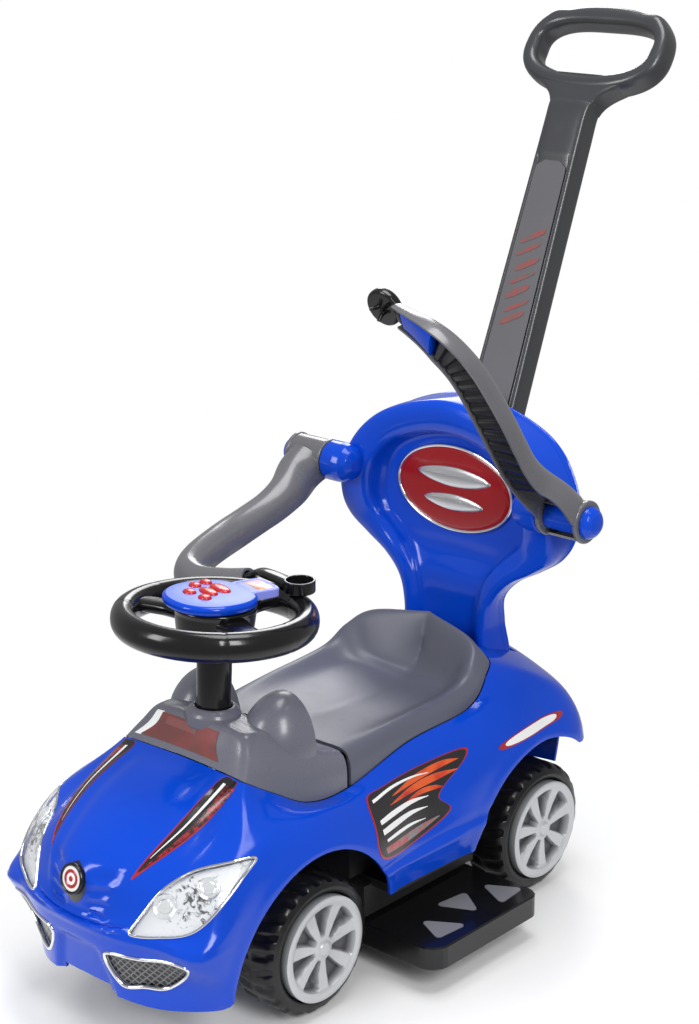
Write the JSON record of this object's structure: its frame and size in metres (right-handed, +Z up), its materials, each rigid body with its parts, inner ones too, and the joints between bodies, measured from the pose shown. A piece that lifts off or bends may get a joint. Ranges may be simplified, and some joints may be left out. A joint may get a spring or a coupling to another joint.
{
  "type": "ride-on push car",
  "caption": "Child's three-in-one push car with a steering wheel, storage seat, backrest, swinging guard arms, sliding footrests and a tall push handle.",
  "frame": {"origin": "on the floor under the middle of the car's overall box", "axes": "+Z up, the car faces -Y, +X towards the car's left side"},
  "size_m": [0.4198, 0.8237, 0.9047],
  "materials": {
    "blue_plastic": "glossy moulded blue",
    "grey_plastic": "satin grey with a faint violet tone",
    "black_plastic": "satin black",
    "tyre": "matt black moulded plastic",
    "silver_trim": "silver-plated plastic",
    "clear_lamp": "clear gloss",
    "red_button": "glossy red",
    "red_panel": "glossy deep red",
    "screen": "pale pink gloss",
    "steel": "plated steel"
  },
  "bodies": {
    "root": {"body_shell": "blue_plastic", "floor_pan": "black_plastic", "front_cowl": "grey_plastic", "column_collar": "grey_plastic", "storage_tub": "black_plastic", "nose_badge": "red_panel", "rear_axle": "steel", "backrest_shell": "blue_plastic", "backrest_cover": "blue_plastic", "medallion_bezel": "silver_trim", "medallion_panel": "red_panel", "handle_socket": "blue_plastic", "push_handle": "grey_plastic", "arm_pivot_left": "blue_plastic", "arm_pivot_right": "blue_plastic", "headlight_lens_left": "clear_lamp", "headlight_lens_right": "clear_lamp", "headlight_reflector_left": "silver_trim", "headlight_reflector_right": "silver_trim", "fog_grille_left": "silver_trim", "fog_grille_right": "silver_trim"},
    "steering": {"steering_wheel": "black_plastic", "steering_column": "black_plastic", "steering_rod": "steel", "column_screw": "steel", "music_case": "blue_plastic", "music_screen": "screen", "battery_door": "black_plastic"},
    "seat": {"seat_lid": "grey_plastic", "seat_hinge_pin": "steel"},
    "tie_bar": {"tie_bar": "steel"},
    "guard_left": {"guard_arm_left": "grey_plastic", "arm_liner_left": "black_plastic", "latch_head": "black_plastic"},
    "guard_right": {"guard_arm_right": "grey_plastic", "arm_liner_right": "black_plastic", "latch_socket": "black_plastic"},
    "latch_release": {"latch_release": "blue_plastic"},
    "knuckle_left": {"knuckle_left": "steel"},
    "wheel_front_left": {"tyre_front_left": "tyre", "hubcap_front_left": "silver_trim"},
    "wheel_rear_left": {"tyre_rear_left": "tyre", "hubcap_rear_left": "silver_trim"},
    "footrest_left": {"footrest_left": "black_plastic", "footrest_pads_left": "grey_plastic"},
    "knuckle_right": {"knuckle_right": "steel"},
    "wheel_front_right": {"tyre_front_right": "tyre", "hubcap_front_right": "silver_trim"},
    "wheel_rear_right": {"tyre_rear_right": "tyre", "hubcap_rear_right": "silver_trim"},
    "footrest_right": {"footrest_right": "black_plastic", "footrest_pads_right": "grey_plastic"},
    "button_play": {"button_play": "red_button"},
    "button_horn": {"button_horn": "red_button"},
    "button_song_1": {"button_song_1": "red_button"},
    "button_song_2": {"button_song_2": "red_button"},
    "button_song_3": {"button_song_3": "red_button"},
    "button_song_4": {"button_song_4": "red_button"}
  },
  "joints": [
    {"name": "steering_turn", "type": "hinge", "parent": "root", "child": "steering", "pos_m": [0, -0.21867, 0.3756], "axis": [0, 0.0523, 0.9986], "range_deg": [-25, 25]},
    {"name": "seat_open", "type": "hinge", "parent": "root", "child": "seat", "pos_m": [0, -0.1362, 0.2342], "axis": [1, 0, 0], "range_deg": [0, 60]},
    {"name": "guard_left_turn", "type": "hinge", "parent": "root", "child": "guard_left", "pos_m": [0, 0.1073, 0.435], "axis": [-1, 0, 0], "range_deg": [-68.6, 25]},
    {"name": "guard_right_turn", "type": "hinge", "parent": "root", "child": "guard_right", "pos_m": [0, 0.1073, 0.435], "axis": [-1, 0, 0], "range_deg": [0, 66]},
    {"name": "latch_press", "type": "slide", "parent": "guard_left", "child": "latch_release", "axis": [0, 0.9311, 0.3649], "range_m": [0, 0.003], "stiffness_N_per_m": 400, "springref_m": -0.001},
    {"name": "tie_bar_slide", "type": "slide", "parent": "root", "child": "tie_bar", "axis": [1, 0, 0], "range_m": [-0.0125, 0.0125]},
    {"name": "knuckle_left_turn", "type": "hinge", "parent": "root", "child": "knuckle_left", "pos_m": [0.056, -0.2122, 0.07], "axis": [0, 0, 1], "range_deg": [-20, 20]},
    {"name": "wheel_front_left_spin", "type": "hinge", "parent": "knuckle_left", "child": "wheel_front_left", "pos_m": [0.1015, -0.2122, 0.07], "axis": [1, 0, 0], "continuous": true},
    {"name": "wheel_rear_left_spin", "type": "hinge", "parent": "root", "child": "wheel_rear_left", "pos_m": [0.1015, 0.1368, 0.07], "axis": [1, 0, 0], "continuous": true},
    {"name": "footrest_left_slide", "type": "slide", "parent": "root", "child": "footrest_left", "axis": [-1, 0, 0], "range_m": [0, 0.058]},
    {"name": "knuckle_right_turn", "type": "hinge", "parent": "root", "child": "knuckle_right", "pos_m": [-0.056, -0.2122, 0.07], "axis": [0, 0, 1], "range_deg": [-20, 20]},
    {"name": "wheel_front_right_spin", "type": "hinge", "parent": "knuckle_right", "child": "wheel_front_right", "pos_m": [-0.1015, -0.2122, 0.07], "axis": [1, 0, 0], "continuous": true},
    {"name": "wheel_rear_right_spin", "type": "hinge", "parent": "root", "child": "wheel_rear_right", "pos_m": [-0.1015, 0.1368, 0.07], "axis": [1, 0, 0], "continuous": true},
    {"name": "footrest_right_slide", "type": "slide", "parent": "root", "child": "footrest_right", "axis": [1, 0, 0], "range_m": [0, 0.058]},
    {"name": "button_play_press", "type": "slide", "parent": "steering", "child": "button_play", "axis": [0, -0.0523, -0.9986], "range_m": [0, 0.0015], "stiffness_N_per_m": 300, "springref_m": -0.001},
    {"name": "button_horn_press", "type": "slide", "parent": "steering", "child": "button_horn", "axis": [0, -0.0523, -0.9986], "range_m": [0, 0.0015], "stiffness_N_per_m": 300, "springref_m": -0.001},
    {"name": "button_song_1_press", "type": "slide", "parent": "steering", "child": "button_song_1", "axis": [0, -0.0523, -0.9986], "range_m": [0, 0.0015], "stiffness_N_per_m": 300, "springref_m": -0.001},
    {"name": "button_song_2_press", "type": "slide", "parent": "steering", "child": "button_song_2", "axis": [0, -0.0523, -0.9986], "range_m": [0, 0.0015], "stiffness_N_per_m": 300, "springref_m": -0.001},
    {"name": "button_song_3_press", "type": "slide", "parent": "steering", "child": "button_song_3", "axis": [0, -0.0523, -0.9986], "range_m": [0, 0.0015], "stiffness_N_per_m": 300, "springref_m": -0.001},
    {"name": "button_song_4_press", "type": "slide", "parent": "steering", "child": "button_song_4", "axis": [0, -0.0523, -0.9986], "range_m": [0, 0.0015], "stiffness_N_per_m": 300, "springref_m": -0.001}
  ],
  "couplings": [
    {"joint": "knuckle_left_turn", "follows": "steering_turn", "ratio": 0.8},
    {"joint": "knuckle_right_turn", "follows": "steering_turn", "ratio": 0.8},
    {"joint": "tie_bar_slide", "follows": "steering_turn", "m_per_rad": -0.028}
  ]
}
